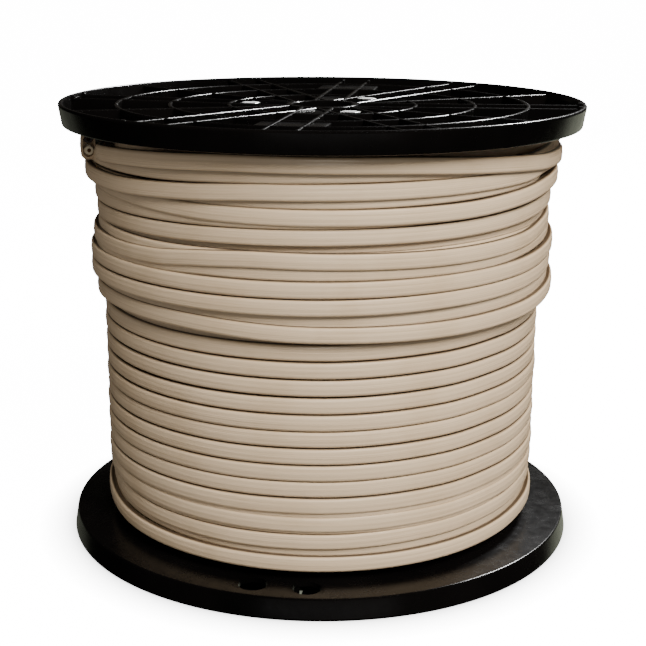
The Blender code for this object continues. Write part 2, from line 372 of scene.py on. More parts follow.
@dataclass(frozen=True)
class ZincPlate:
    """Bright zinc plating with fine turning marks and dull patches."""

    name: str = "zinc_plate"
    bright: Colour = (0.80, 0.80, 0.78)
    dull: Colour = (0.50, 0.50, 0.47)
    patch_scale: float = 300.0
    mark_scale: float = 2500.0
    mark_height: float = 0.05 * MM
    roughness_dull: float = 0.42
    roughness_bright: float = 0.22

    def build(self) -> bpy.types.Material:
        """Return the material."""
        mat, shader = new_material(self.name)
        place = mat.node_tree.nodes.new("ShaderNodeTexCoord").outputs["Object"]
        cloud = add_noise(mat, place, self.patch_scale, 4.0).outputs["Fac"]
        fine = add_noise(mat, place, self.mark_scale, 2.0).outputs["Fac"]
        feed(mat, shader,
             Base_Color=add_ramp(mat, cloud, [(0.3, self.dull), (0.6, self.bright)]),
             Roughness=add_range(mat, cloud, (0.3, 0.7), (self.roughness_dull, self.roughness_bright)),
             Normal=add_bump(mat, fine, 0.1, self.mark_height))
        shader.inputs["Metallic"].default_value = 1.0
        return mat


# Mesh helpers

def link_mesh(name: str, bm: bmesh.types.BMesh) -> bpy.types.Object:
    """Turn a bmesh into an object of the scene.

    Args:
        name: The object's name.
        bm: The geometry, freed here.

    Returns:
        The new object.
    """
    mesh = bpy.data.meshes.new(name)
    bm.to_mesh(mesh)
    bm.free()
    obj = bpy.data.objects.new(name, mesh)
    bpy.context.scene.collection.objects.link(obj)
    return obj


def polar(radius: float, angle: float) -> Point2:
    """Return the plan point at a radius and an angle in degrees."""
    return radius * math.cos(math.radians(angle)), radius * math.sin(math.radians(angle))


def clamp(value: float) -> float:
    """Return a value held between 0 and 1."""
    return max(0.0, min(1.0, value))


def ease(value: float) -> float:
    """Return a value held between 0 and 1, with a soft start and stop."""
    t = clamp(value)
    return t * t * (3.0 - 2.0 * t)


def round_corners(profile: list[Point2], radius: float, steps: int = 3) -> list[Point2]:
    """Round the corners of a closed section.

    Args:
        profile: The section's corners.
        radius: The rounding radius, cut back on short sides.
        steps: The number of chords in each corner.

    Returns:
        The rounded section.
    """
    out: list[Point2] = []
    count = len(profile)
    for i, corner in enumerate(profile):
        here = Vector(corner)
        before = Vector(profile[i - 1]) - here
        after = Vector(profile[(i + 1) % count]) - here
        reach = min(radius, 0.45 * before.length, 0.45 * after.length)
        start = here + before.normalized() * reach
        stop = here + after.normalized() * reach
        for k in range(steps + 1):
            t = k / steps
            spot = start.lerp(here, t).lerp(here.lerp(stop, t), t)
            out.append((spot.x, spot.y))
    return out


def lathe_mesh(bm: bmesh.types.BMesh, profile: list[Point2], segments: int) -> None:
    """Turn a closed section about Z into a bmesh.

    Args:
        bm: The bmesh to add to.
        profile: The section, as (radius, height).
        segments: The number of steps round the circle.
    """
    rings = []
    for i in range(segments):
        angle = 2.0 * math.pi * i / segments
        ca, sa = math.cos(angle), math.sin(angle)
        rings.append([bm.verts.new((r * ca, r * sa, z)) for r, z in profile])
    count = len(profile)
    faces = []
    for i in range(segments):
        one, two = rings[i], rings[(i + 1) % segments]
        for j in range(count):
            k = (j + 1) % count
            faces.append(bm.faces.new((one[j], one[k], two[k], two[j])))
    bmesh.ops.recalc_face_normals(bm, faces=faces)


def prism_mesh(bm: bmesh.types.BMesh, outline: list[Point2], low: float, high: float,
               edge: float = 0.0) -> None:
    """Raise an outline and round its edges.

    Args:
        bm: The bmesh to add to.
        outline: The plan outline.
        low: The lower height.
        high: The upper height.
        edge: The rounding of every edge.
    """
    base = [bm.verts.new((x, y, low)) for x, y in outline]
    top = [bm.verts.new((x, y, high)) for x, y in outline]
    faces = [bm.faces.new(list(reversed(base))), bm.faces.new(top)]
    for i in range(len(outline)):
        j = (i + 1) % len(outline)
        faces.append(bm.faces.new((base[i], base[j], top[j], top[i])))
    bmesh.ops.recalc_face_normals(bm, faces=faces)
    if edge > 0.0:
        edges = [e for e in {e for f in faces for e in f.edges} if e.calc_face_angle(0.0) > SHARP_ANGLE]
        bmesh.ops.bevel(bm, geom=edges, offset=edge, segments=BEVEL_STEPS, affect="EDGES", profile=0.5)


def bar_outline(angle: float, along: Point2, across: Point2) -> list[Point2]:
    """Return a rectangle given by its ranges along and across a direction.

    Args:
        angle: The direction in degrees.
        along: The range along it.
        across: The range across it.

    Returns:
        The four corners, anticlockwise.
    """
    ca, sa = math.cos(math.radians(angle)), math.sin(math.radians(angle))
    corners = ((along[0], across[0]), (along[1], across[0]), (along[1], across[1]), (along[0], across[1]))
    return [(u * ca - v * sa, u * sa + v * ca) for u, v in corners]


def circle_outline(radius: float, segments: int, centre: Point2 = (0.0, 0.0)) -> list[Point2]:
    """Return a regular polygon.

    Args:
        radius: The corners' distance from the centre.
        segments: The number of sides.
        centre: The centre in plan.

    Returns:
        The corners, anticlockwise.
    """
    step = 2.0 * math.pi / segments
    return [(centre[0] + radius * math.cos(i * step), centre[1] + radius * math.sin(i * step))
            for i in range(segments)]


def shade_soft(obj: bpy.types.Object, angle: float = 35.0) -> None:
    """Shade an object smooth, with creases kept sharp.

    Args:
        obj: The mesh object.
        angle: The crease angle in degrees.
    """
    bm = bmesh.new()
    bm.from_mesh(obj.data)
    limit = math.radians(angle)
    for edge in bm.edges:
        edge.smooth = len(edge.link_faces) == 2 and edge.calc_face_angle(0.0) < limit
    for face in bm.faces:
        face.smooth = True
    bm.to_mesh(obj.data)
    bm.free()


def baked(obj: bpy.types.Object) -> bpy.types.Object:
    """Replace an object's mesh by its evaluated mesh and drop its modifiers.

    Args:
        obj: The object to bake.

    Returns:
        The same object.
    """
    graph = bpy.context.evaluated_depsgraph_get()
    graph.update()
    mesh = bpy.data.meshes.new_from_object(obj.evaluated_get(graph), depsgraph=graph)
    obj.modifiers.clear()
    if obj.type == "MESH":
        obj.data = mesh
        return obj
    made = bpy.data.objects.new(obj.name, mesh)
    bpy.context.scene.collection.objects.link(made)
    bpy.data.objects.remove(obj, do_unlink=True)
    return made


def finish_piece(obj: bpy.types.Object, mat: bpy.types.Material, slot: Slot, *nodes: str) -> None:
    """Dress a piece and hand it to the frame.

    Args:
        obj: The finished piece.
        mat: Its material.
        slot: The record's slot for the piece; not used.
        nodes: The CAD nodes that it stands for.
    """
    obj.data.materials.clear()
    obj.data.materials.append(mat)
    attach(obj, "root")
    if nodes:
        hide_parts(*nodes)
    LOG.info("%s: %d faces", obj.name, len(obj.data.polygons))


# The reel

@dataclass
class Flange:
    """One flange moulding: rim, web, ring ribs, bar ribs, pads, bosses and lugs."""

    name: str
    turned: Turned
    node: str
    radius: float = 165.0 * MM
    rim_depth: float = 13.5 * MM
    rim_draft: float = 2.3 * MM
    rim_wall: float = 3.0 * MM
    web: float = 3.0 * MM
    rib_top: float = 3.0 * MM
    rib_wall: float = 2.5 * MM
    ring_ribs: tuple[float, ...] = (129.03 * MM, 96.03 * MM, 59.0 * MM)
    arbor: float = 19.0 * MM
    hub: float = 23.0 * MM
    spigot: Point2 = (50.6 * MM, 52.7 * MM)
    pair_offset: float = 11.0 * MM
    pad_pair_offset: float = 9.3 * MM
    pair_angles: tuple[float, ...] = (51.0, 111.0, 171.0)
    pad_angle: float = 81.0
    single_angles: tuple[float, ...] = (21.0, 141.0)
    hub_gap: float = 2.0 * MM
    pair_lower: float = 0.2 * MM
    single_lower: float = 0.4 * MM
    pad_half: float = 20.5 * MM
    pad_low: float = 4.0 * MM
    small_pad_from: float = 21.0 * MM
    small_pad_half: float = 9.0 * MM
    small_pad_low: float = 4.2 * MM
    boss: float = 9.0 * MM
    boss_rise: float = 2.0 * MM
    lug_ends: Point2 = (6.0 * MM, 2.1 * MM)
    lug_half: float = 1.8 * MM
    lug_low: float = 0.2 * MM
    lug_deeper: float = 2.0 * MM
    bolt_hole: float = 3.5 * MM
    cable_hole: float = 8.5 * MM
    cable_hole_at: float = 149.0 * MM
    cable_hole_spread: float = 6.15
    edge: float = 0.9 * MM
    rim_soft: float = 0.95 * MM
    rib_rise: float = 1.5 * MM
    dish_from: float = 80.0 * MM
    dish_over: float = 75.0 * MM
    turn_over_angle: float = 171.0
    segments: int = 240

    def place(self) -> Matrix:
        """Return the matrix that puts the moulding in its place."""
        if self.turned is Turned.UPRIGHT:
            return Matrix.Identity(4)
        axis = Vector((*polar(1.0, self.turn_over_angle), 0.0))
        return Matrix.Translation((0.0, 0.0, REEL_HEIGHT)) @ Matrix.Rotation(math.pi, 4, axis)

    def shell(self) -> bmesh.types.BMesh:
        """Return the turned rim, web, ring ribs and hub."""
        back = self.rim_depth - self.web
        inner = self.radius - self.rim_draft
        section = [(inner, self.rim_depth), (self.radius - 0.25 * MM, self.rim_soft * 1.2),
                   (self.radius - self.rim_soft, 0.0), (self.radius - self.rim_wall, 0.0),
                   (self.radius - self.rim_wall - self.rim_draft * back / self.rim_depth, back)]
        for ring in self.ring_ribs:
            outer, within = ring + self.rib_wall / 2, ring - self.rib_wall / 2
            section += [(outer, back), (outer, self.rib_top), (within, self.rib_top), (within, back)]
        section += [(self.hub, back), (self.hub, self.rib_top), (self.arbor, self.rib_top),
                    (self.arbor, self.rim_depth), (self.spigot[0], self.rim_depth),
                    (self.spigot[0], self.rim_depth + 3 * MM), (self.spigot[1], self.rim_depth + 3 * MM),
                    (self.spigot[1], self.rim_depth)]
        bm = bmesh.new()
        lathe_mesh(bm, round_corners(section, self.edge * 1.25, 5), self.segments)
        return bm

    def holes(self) -> bpy.types.Object:
        """Return the cutters of the bolt holes and cable holes."""
        bm = bmesh.new()
        for angle in BOLT_ANGLES:
            outline = circle_outline(self.bolt_hole, 24, polar(BOLT_CIRCLE, angle))
            prism_mesh(bm, outline, -MM, self.rim_depth + MM)
        for side in (-1, 1):
            centre = polar(self.cable_hole_at, self.pad_angle + 180.0 + side * self.cable_hole_spread)
            prism_mesh(bm, circle_outline(self.cable_hole, 48, centre), -MM, self.rim_depth + MM)
        return link_mesh(f"{self.name}_cutters", bm)

    def bar(self, bm: bmesh.types.BMesh, angle: float, ends: Point2, across: Point2, low: float,
            high: float) -> None:
        """Add one rounded bar.

        Args:
            bm: The bmesh to add to.
            angle: The direction that it lies along, in degrees.
            ends: Where it starts and stops on that direction, in either order.
            across: Its range across that direction.
            low: Its lower height.
            high: Its upper height.
        """
        along = (min(ends), max(ends))
        prism_mesh(bm, bar_outline(angle, along, across), low, high, self.edge)

    def bars(self) -> bmesh.types.BMesh:
        """Return the ribs, pads, bosses and lugs as rounded bars."""
        back = self.rim_depth - self.web
        sink = back + MM
        half = self.rib_wall / 2
        reach = self.radius - self.rim_wall - 0.2 * MM
        bm = bmesh.new()
        pairs = [(a, self.pair_offset) for a in self.pair_angles] + [(self.pad_angle, self.pad_pair_offset)]
        for angle, offset in pairs:
            start = math.sqrt(max(self.arbor + self.hub_gap, offset + half) ** 2 - (offset - half) ** 2)
            for side in (-1, 1):
                across = (side * offset - half, side * offset + half)
                for end in (-1, 1):
                    self.bar(bm, angle, (end * start, end * reach), across,
                             self.rib_top + self.pair_lower, sink)
        for angle in self.single_angles:
            for end in (-1, 1):
                self.bar(bm, angle, (end * (self.arbor + self.hub_gap), end * reach), (-half, half),
                         self.rib_top + self.single_lower, sink)
        for end in (-1, 1):
            self.bar(bm, self.pad_angle, (end * self.ring_ribs[1], end * self.ring_ribs[0]),
                     (-self.pad_half, self.pad_half), self.pad_low, sink)
            self.bar(bm, self.pad_angle, (end * self.small_pad_from, end * self.ring_ribs[2]),
                     (-self.small_pad_half, self.small_pad_half), self.small_pad_low, sink)
        for angle in BOLT_ANGLES:
            outline = circle_outline(self.boss, 40, polar(BOLT_CIRCLE, angle))
            prism_mesh(bm, outline, back - self.boss_rise, sink, self.edge)
        for angle in self.pair_angles:
            for end in (-1, 1):
                ends = (end * (self.radius - self.lug_ends[0]), end * (self.radius - self.lug_ends[1]))
                for side in (-1, 1):
                    middle = side * self.pair_offset
                    self.bar(bm, angle, ends, (middle - self.lug_half, middle + self.lug_half),
                             self.lug_low, self.rib_top + self.lug_deeper)
        return bm

    def raise_ribs(self, bm: bmesh.types.BMesh) -> None:
        """Lift the rib tops a little towards the rim, as the moulding is dished.

        Args:
            bm: The moulding with its ribs downwards.
        """
        inside = self.radius - self.rim_wall
        below, above = self.rib_top - 0.2 * MM, self.rim_depth - self.web - MM
        for vertex in bm.verts:
            r = math.hypot(vertex.co.x, vertex.co.y)
            if r < inside and below < vertex.co.z < above:
                vertex.co.z -= self.rib_rise * clamp((r - self.dish_from) / self.dish_over)

    def build(self, mat: bpy.types.Material) -> bpy.types.Object:
        """Build and dress the flange.

        Args:
            mat: The moulded plastic.

        Returns:
            The flange.
        """
        obj = link_mesh(self.name, self.shell())
        cutters = self.holes()
        bars = link_mesh(f"{self.name}_bars", self.bars())
        for one in (obj, bars):
            cut = one.modifiers.new("holes", "BOOLEAN")
            cut.operation = "DIFFERENCE"
            cut.solver = "EXACT"
            cut.use_self = one is bars
            cut.object = cutters
            baked(one)
        bm = bmesh.new()
        bm.from_mesh(obj.data)
        bm.from_mesh(bars.data)
        self.raise_ribs(bm)
        bm.transform(self.place())
        bm.to_mesh(obj.data)
        bm.free()
        for spare in (cutters, bars):
            bpy.data.objects.remove(spare, do_unlink=True)
        shade_soft(obj)
        finish_piece(obj, mat, Slot.PLASTIC, self.node)
        return obj


@dataclass
class Drum:
    """The tube that the cable is wound on."""

    outer: float = 56.0 * MM
    inner: float = 53.0 * MM
    low: float = 13.8 * MM
    high: float = 265.2 * MM

    def build(self, mat: bpy.types.Material) -> None:
        """Build and dress the drum.

        Args:
            mat: The moulded plastic.
        """
        section = [(self.outer, self.high), (self.outer, self.low), (self.inner, self.low),
                   (self.inner, self.high)]
        bm = bmesh.new()
        lathe_mesh(bm, round_corners(section, 0.5 * MM), 160)
        obj = link_mesh("drum_tube", bm)
        shade_soft(obj)
        finish_piece(obj, mat, Slot.DRUM, "drum")


@dataclass
class TieBolt:
    """A hexagon bolt with its washers and nut."""

    number: int
    angle: float
    shank: float = 3.2 * MM
    hexagon: float = 6.35 * MM
    washer: float = 8.0 * MM
    washer_bore: float = 3.5 * MM
    seat: float = 6.6 * MM
    head: float = 3.4 * MM
    face: float = 6.9 * MM
    washer_t: float = 1.3 * MM
    tip: float = 1.6 * MM

    def placed(self, bm: bmesh.types.BMesh, name: str, mat: bpy.types.Material,
               node: str) -> bpy.types.Object:
        """Move a bmesh to the bolt's place and dress it.

        Args:
            bm: The geometry, about the bolt's own axis.
            name: The piece's name.
            mat: The zinc finish.
            node: The CAD node that it stands for.

        Returns:
            The piece.
        """
        bm.transform(Matrix.Translation((*polar(BOLT_CIRCLE, self.angle), 0.0)))
        obj = link_mesh(name, bm)
        shade_soft(obj, 30.0)
        finish_piece(obj, mat, Slot.ZINC, node)
        return obj

    def build(self, mat: bpy.types.Material) -> list[bpy.types.Object]:
        """Build and dress the bolt, nut and washers.

        Args:
            mat: The zinc finish.

        Returns:
            The pieces.
        """
        made = []
        top = REEL_HEIGHT - self.seat
        bore = self.shank + 0.3 * MM
        bm = bmesh.new()
        prism_mesh(bm, circle_outline(self.hexagon, 6), top, top + self.head, 0.35 * MM)
        prism_mesh(bm, circle_outline(self.shank, 32), self.tip, top + MM, 0.3 * MM)
        made.append(self.placed(bm, f"bolt_{self.number}", mat, f"tie_bolt_{self.number}"))
        bm = bmesh.new()
        lathe_mesh(bm, [(self.hexagon, self.seat), (self.hexagon, self.seat - self.head),
                        (bore, self.seat - self.head), (bore, self.seat)], 6)
        made.append(self.placed(bm, f"nut_{self.number}", mat, f"tie_nut_{self.number}"))
        for label, low in (("low", self.face), ("top", REEL_HEIGHT - self.face - self.washer_t)):
            high = low + self.washer_t
            section = [(self.washer, high), (self.washer, low), (self.washer_bore, low),
                       (self.washer_bore, high)]
            bm = bmesh.new()
            lathe_mesh(bm, round_corners(section, 0.25 * MM, 2), 48)
            made.append(self.placed(bm, f"round_washer_{label}_{self.number}", mat,
                                    f"washer_{label}_{self.number}"))
        return made


# The cable

def periodic(points: tuple[Point2, ...], angle: float) -> float:
    """Read a smooth closed curve given by points round the circle.

    Args:
        points: The (degrees, value) points, in order, within one circle.
        angle: The angle to read at, in degrees.

    Returns:
        The value there, by a monotone cubic through the points.
    """
    start = points[0][0]
    a = (angle - start) % 360.0 + start
    count = len(points)
    xs = [p[0] for p in points] + [points[0][0] + 360.0]
    ys = [p[1] for p in points] + [points[0][1]]
    slopes = [(ys[i + 1] - ys[i]) / (xs[i + 1] - xs[i]) for i in range(count)]
    k = max(i for i in range(count) if xs[i] <= a + 1e-9)

    def tangent(i: int) -> float:
        """Return the tangent at a point, level at a peak or dip."""
        before, after = slopes[(i - 1) % count], slopes[i % count]
        if before * after <= 0.0:
            return 0.0
        return 2.0 * before * after / (before + after)

    h = xs[k + 1] - xs[k]
    t = (a - xs[k]) / h
    m0, m1 = tangent(k) * h, tangent(k + 1) * h
    return ((2 * t ** 3 - 3 * t ** 2 + 1) * ys[k] + (t ** 3 - 2 * t ** 2 + t) * m0
            + (-2 * t ** 3 + 3 * t ** 2) * ys[k + 1] + (t ** 3 - t ** 2) * m1)


@dataclass
class TapeSweep:
    """Sweeps the flat cable's section along a path, in Geometry Nodes."""

    width: float = 9.9 * MM
    thickness: float = 4.3 * MM
    rounding: float = 1.7 * MM
    crown: float = 0.5 * MM
    ridge: float = 0.09 * MM
    corner_points: int = 6
    section_points: int = 30

    def crowned(self, tree: bpy.types.GeometryNodeTree, entry: bpy.types.Node,
                section: bpy.types.NodeSocket) -> bpy.types.NodeSocket:
        """Swell the section's flat faces over the conductors.

        Args:
            tree: The tree to add to.
            entry: The group input.
            section: The section curve.

        Returns:
            The swollen section.
        """
        nodes, links = tree.nodes, tree.links

        def maths(operation: str, first: object, second: object = 0.0) -> bpy.types.NodeSocket:
            """Add a Math node and return its value."""
            node = nodes.new("ShaderNodeMath")
            node.operation = operation
            for socket, value in zip(node.inputs, (first, second)):
                if isinstance(value, bpy.types.NodeSocket):
                    links.new(value, socket)
                else:
                    socket.default_value = value
            return node.outputs["Value"]

        where = nodes.new("ShaderNodeSeparateXYZ")
        links.new(nodes.new("GeometryNodeInputPosition").outputs["Position"], where.inputs["Vector"])
        across = maths("DIVIDE", where.outputs["Y"], entry.outputs["Width"])
        dome = maths("SUBTRACT", 1.0, maths("MULTIPLY", maths("MULTIPLY", across, across), 4.0))
        swell = maths("MULTIPLY", dome, entry.outputs["Crown"])
        wave = maths("COSINE", maths("MULTIPLY", across, 6.0 * math.pi))
        lines = maths("MULTIPLY", maths("MULTIPLY", wave, entry.outputs["Ridge"]), dome)
        push = maths("MULTIPLY", maths("ADD", swell, lines), maths("SIGN", where.outputs["X"]))
        offset = nodes.new("ShaderNodeCombineXYZ")
        links.new(push, offset.inputs["X"])
        move = nodes.new("GeometryNodeSetPosition")
        links.new(section, move.inputs["Geometry"])
        links.new(offset.outputs["Vector"], move.inputs["Offset"])
        return move.outputs["Geometry"]

    def tree(self) -> bpy.types.GeometryNodeTree:
        """Return the node tree, with its sizes and its material as named inputs."""
        tree = bpy.data.node_groups.new("flat_cable_sweep", "GeometryNodeTree")
        face = tree.interface
        face.new_socket("Geometry", in_out="INPUT", socket_type="NodeSocketGeometry")
        for label in ("Width", "Thickness", "Rounding", "Crown", "Ridge"):
            face.new_socket(label, in_out="INPUT", socket_type="NodeSocketFloat")
        face.new_socket("Jacket", in_out="INPUT", socket_type="NodeSocketMaterial")
        face.new_socket("Geometry", in_out="OUTPUT", socket_type="NodeSocketGeometry")
        nodes, links = tree.nodes, tree.links
        entry = nodes.new("NodeGroupInput")
        leave = nodes.new("NodeGroupOutput")
        normal = nodes.new("GeometryNodeSetCurveNormal")
        normal.mode = "Z_UP"
        section = nodes.new("GeometryNodeCurvePrimitiveQuadrilateral")
        fillet = nodes.new("GeometryNodeFilletCurve")
        fillet.mode = "POLY"
        fillet.inputs["Count"].default_value = self.corner_points
        even = nodes.new("GeometryNodeResampleCurve")
        even.inputs["Count"].default_value = self.section_points
        run = nodes.new("GeometryNodeSplineParameter")
        keep_run = nodes.new("GeometryNodeCaptureAttribute")
        keep_run.capture_items.new("FLOAT", "Length")
        girth = nodes.new("ShaderNodeSeparateXYZ")
        links.new(nodes.new("GeometryNodeInputPosition").outputs["Position"], girth.inputs["Vector"])
        keep_girth = nodes.new("GeometryNodeCaptureAttribute")
        keep_girth.capture_items.new("FLOAT", "Across")
        sweep = nodes.new("GeometryNodeCurveToMesh")
        sweep.inputs["Fill Caps"].default_value = True
        pair = nodes.new("ShaderNodeCombineXYZ")
        store = nodes.new("GeometryNodeStoreNamedAttribute")
        store.data_type = "FLOAT2"
        store.domain = "CORNER"
        store.inputs["Name"].default_value = "run"
        realize = nodes.new("GeometryNodeRealizeInstances")
        dress = nodes.new("GeometryNodeSetMaterial")
        links.new(entry.outputs["Geometry"], normal.inputs["Curve"])
        links.new(entry.outputs["Width"], section.inputs["Height"])
        links.new(entry.outputs["Thickness"], section.inputs["Width"])
        links.new(entry.outputs["Rounding"], fillet.inputs["Radius"])
        links.new(section.outputs["Curve"], fillet.inputs["Curve"])
        links.new(normal.outputs["Curve"], keep_run.inputs["Geometry"])
        links.new(run.outputs["Length"], keep_run.inputs["Length"])
        links.new(fillet.outputs["Curve"], even.inputs["Curve"])
        links.new(self.crowned(tree, entry, even.outputs["Curve"]), keep_girth.inputs["Geometry"])
        links.new(girth.outputs["Y"], keep_girth.inputs["Across"])
        links.new(keep_run.outputs["Geometry"], sweep.inputs["Curve"])
        links.new(keep_girth.outputs["Geometry"], sweep.inputs["Profile Curve"])
        links.new(keep_run.outputs["Length"], pair.inputs["X"])
        links.new(keep_girth.outputs["Across"], pair.inputs["Y"])
        links.new(sweep.outputs["Mesh"], store.inputs["Geometry"])
        links.new(pair.outputs["Vector"], store.inputs["Value"])
        links.new(store.outputs["Geometry"], realize.inputs["Geometry"])
        links.new(realize.outputs["Geometry"], dress.inputs["Geometry"])
        links.new(entry.outputs["Jacket"], dress.inputs["Material"])
        links.new(dress.outputs["Geometry"], leave.inputs["Geometry"])
        return tree

    def build(self, name: str, paths: list[list[Vector]], closed: bool,
              mat: bpy.types.Material) -> bpy.types.Object:
        """Sweep the section along each path.

        Args:
            name: The piece's name.
            paths: The middle of the cable, point by point, for each run.
            closed: True if each run is a closed ring.
            mat: The jacket material.

        Returns:
            The swept mesh object.
        """
        data = bpy.data.curves.new(name, "CURVE")
        data.dimensions = "3D"
        for path in paths:
            spline = data.splines.new("POLY")
            spline.points.add(len(path) - 1)
            for point, place in zip(spline.points, path):
                point.co = (*place, 1.0)
            spline.use_cyclic_u = closed
        obj = bpy.data.objects.new(name, data)
        bpy.context.scene.collection.objects.link(obj)
        mod = obj.modifiers.new("sweep", "NODES")
        tree = self.tree()
        mod.node_group = tree
        values = {"Width": self.width, "Thickness": self.thickness, "Rounding": self.rounding,
                  "Crown": self.crown, "Ridge": self.ridge, "Jacket": mat}
        for item in tree.interface.items_tree:
            if item.in_out == "INPUT" and item.name in values:
                mod[item.identifier] = values[item.name]
        made = baked(obj)
        made.name = name
        bm = bmesh.new()
        bm.from_mesh(made.data)
        bmesh.ops.recalc_face_normals(bm, faces=bm.faces)
        bm.to_mesh(made.data)
        bm.free()
        shade_soft(made, 60.0)
        return made


@dataclass
class LevelTurns:
    """The neatly wound lower turns, as one run that climbs a turn at a time.

    The tables are points of (degrees, millimetres) round the reel.

    Attributes:
        levels: The height at which each turn starts, in millimetres.
        tilt: How far a turn has climbed.
        drop: How much the turns between drop_from and fades_at lie lower.
        sag: What moves the lowest level turn.
        heave: What moves the two highest ones.
        first: The height of the run before the first level, with its outer radii in first_radii.
    """

    sweep: TapeSweep
    radius: float = 139.6 * MM
    pitch: float = 10.2
    levels: tuple[float, ...] = (49.3, 59.9, 70.0, 79.9, 90.1, 100.4, 110.3, 120.4, 131.0, 141.4, 151.8)
    tilt: tuple[Point2, ...] = ((-170.0, 0.3), (-150.0, 0.5), (-120.0, 0.1), (-90.0, 0.0), (-60.0, 1.0),
                                (-40.0, 2.3), (-20.0, 3.6), (30.0, 5.2), (90.0, 7.0), (150.0, 9.2),
                                (190.0, 10.5))
    drop: tuple[Point2, ...] = ((-170.0, -1.7), (-150.0, -1.5), (-120.0, -0.5), (-90.0, 0.0), (90.0, 0.0),
                                (150.0, -1.2), (190.0, -1.7))
    sag: tuple[Point2, ...] = ((-170.0, 0.0), (-150.0, -0.4), (-125.0, -0.9), (-30.0, -0.9), (30.0, 0.0),
                               (190.0, 0.0))
    heave: tuple[Point2, ...] = ((-530.0, 0.0), (-250.0, 0.0), (-175.0, -0.5), (-150.0, -0.5), (-112.0, -0.1),
                                 (190.0, 0.0))
    first: tuple[Point2, ...] = ((-235.0, 40.0), (-200.0, 41.0), (-170.0, 41.2), (-160.0, 40.2),
                                 (-150.0, 38.5), (-135.0, 37.4), (-110.0, 37.1), (-90.0, 37.3),
                                 (-60.0, 38.6), (-40.0, 40.0), (-20.0, 41.8), (30.0, 43.8), (90.0, 46.0),
                                 (150.0, 48.2), (190.0, 49.6))
    first_radii: tuple[Point2, ...] = ((-235.0, 134.0), (-200.0, 136.4), (-170.0, 137.8), (-140.0, 138.6),
                                       (-90.0, 139.0), (-30.0, 138.6), (60.0, 139.2), (190.0, 139.6))
    steps: int = 120
    first_steps: int = 142
    start: float = -170.0
    joins_from: float = 4.0
    drop_from: float = 49.0
    drop_over: float = 10.0
    fades_at: float = 145.0
    fades_over: float = 45.0
    wander: float = 0.12 * MM
    in_and_out: float = 0.3 * MM

    def eased(self, table: tuple[Point2, ...], angle: float) -> float:
        """Read a table of (degrees, millimetres), eased between its points.

        Args:
            table: The points, in order of angle.
            angle: The angle in degrees.

        Returns:
            The value there in millimetres.
        """
        j = max(n for n in range(len(table) - 1) if table[n][0] <= angle + 1e-9)
        t = (angle - table[j][0]) / (table[j + 1][0] - table[j][0])
        return table[j][1] + (table[j + 1][1] - table[j][1]) * ease(t)

    def spot(self, k: int, angle: float) -> Vector:
        """Return a point of the middle of a level turn.

        Args:
            k: The turn, counted from the lowest.
            angle: The angle in degrees.

        Returns:
            The point.
        """
        level, last = self.levels[k], len(self.levels) - 1
        rise = (self.levels[k + 1] if k < last else level + self.pitch) - level
        share = self.eased(self.tilt, angle)
        extra = 0.0
        if share >= self.joins_from:
            extra = (rise - self.pitch) * (share - self.joins_from) / (self.tilt[-1][1] - self.joins_from)
        if k == 0:
            extra += self.eased(self.sag, angle)
        if k >= last - 1:
            extra += self.eased(self.heave, angle if k == last else angle - 360.0)
        fade = clamp((self.fades_at - level - share) / self.fades_over)
        depth = max(0.0, fade * min(1.0, (level + share - self.drop_from) / self.drop_over))
        wander = self.wander * math.sin(math.radians(angle * 3 + k * 77.0))
        r = self.radius - self.sweep.thickness / 2 + self.in_and_out * math.sin(k * 2.4 + angle / 360.0)
        z = level + share + extra + depth * self.eased(self.drop, angle)
        return Vector((*polar(r + wander, angle), z * MM))

    def build(self, mat: bpy.types.Material) -> bpy.types.Object:
        """Build and dress the lower turns.

        Args:
            mat: The jacket material.

        Returns:
            The lower turns.
        """
        path: list[Vector] = []
        half = self.sweep.thickness / 2
        for i in range(self.first_steps):
            angle = self.first[0][0] + (self.first[-1][0] - self.first[0][0]) * i / self.first_steps
            r = self.eased(self.first_radii, angle) * MM - half
            path.append(Vector((*polar(r, angle), self.eased(self.first, angle) * MM)))
        for k in range(len(self.levels)):
            path += [self.spot(k, self.start + 360.0 * i / self.steps) for i in range(self.steps)]
        obj = self.sweep.build("level_turns", [path], False, mat)
        finish_piece(obj, mat, Slot.JACKET)
        return obj


@dataclass(frozen=True)
class LooseTurn:
    """One turn that isn't level, by points of (degrees, millimetres) round the reel.

    Attributes:
        label: What the turn is called here.
        heights: The heights of its middle.
        radii: The radii of its outer face.
    """

    label: str
    heights: tuple[Point2, ...]
    radii: tuple[Point2, ...]

    def path(self, thickness: float, steps: int) -> list[Vector]:
        """Return the middle of the turn.

        Args:
            thickness: The cable's thickness.
            steps: The number of points.

        Returns:
            The points, anticlockwise.
        """
        out = []
        for i in range(steps):
            angle = 360.0 * i / steps
            outer = periodic(self.radii, angle) * MM
            out.append(Vector((*polar(outer - thickness / 2, angle), periodic(self.heights, angle) * MM)))
        LOG.debug("turn %s: %d points", self.label, steps)
        return out


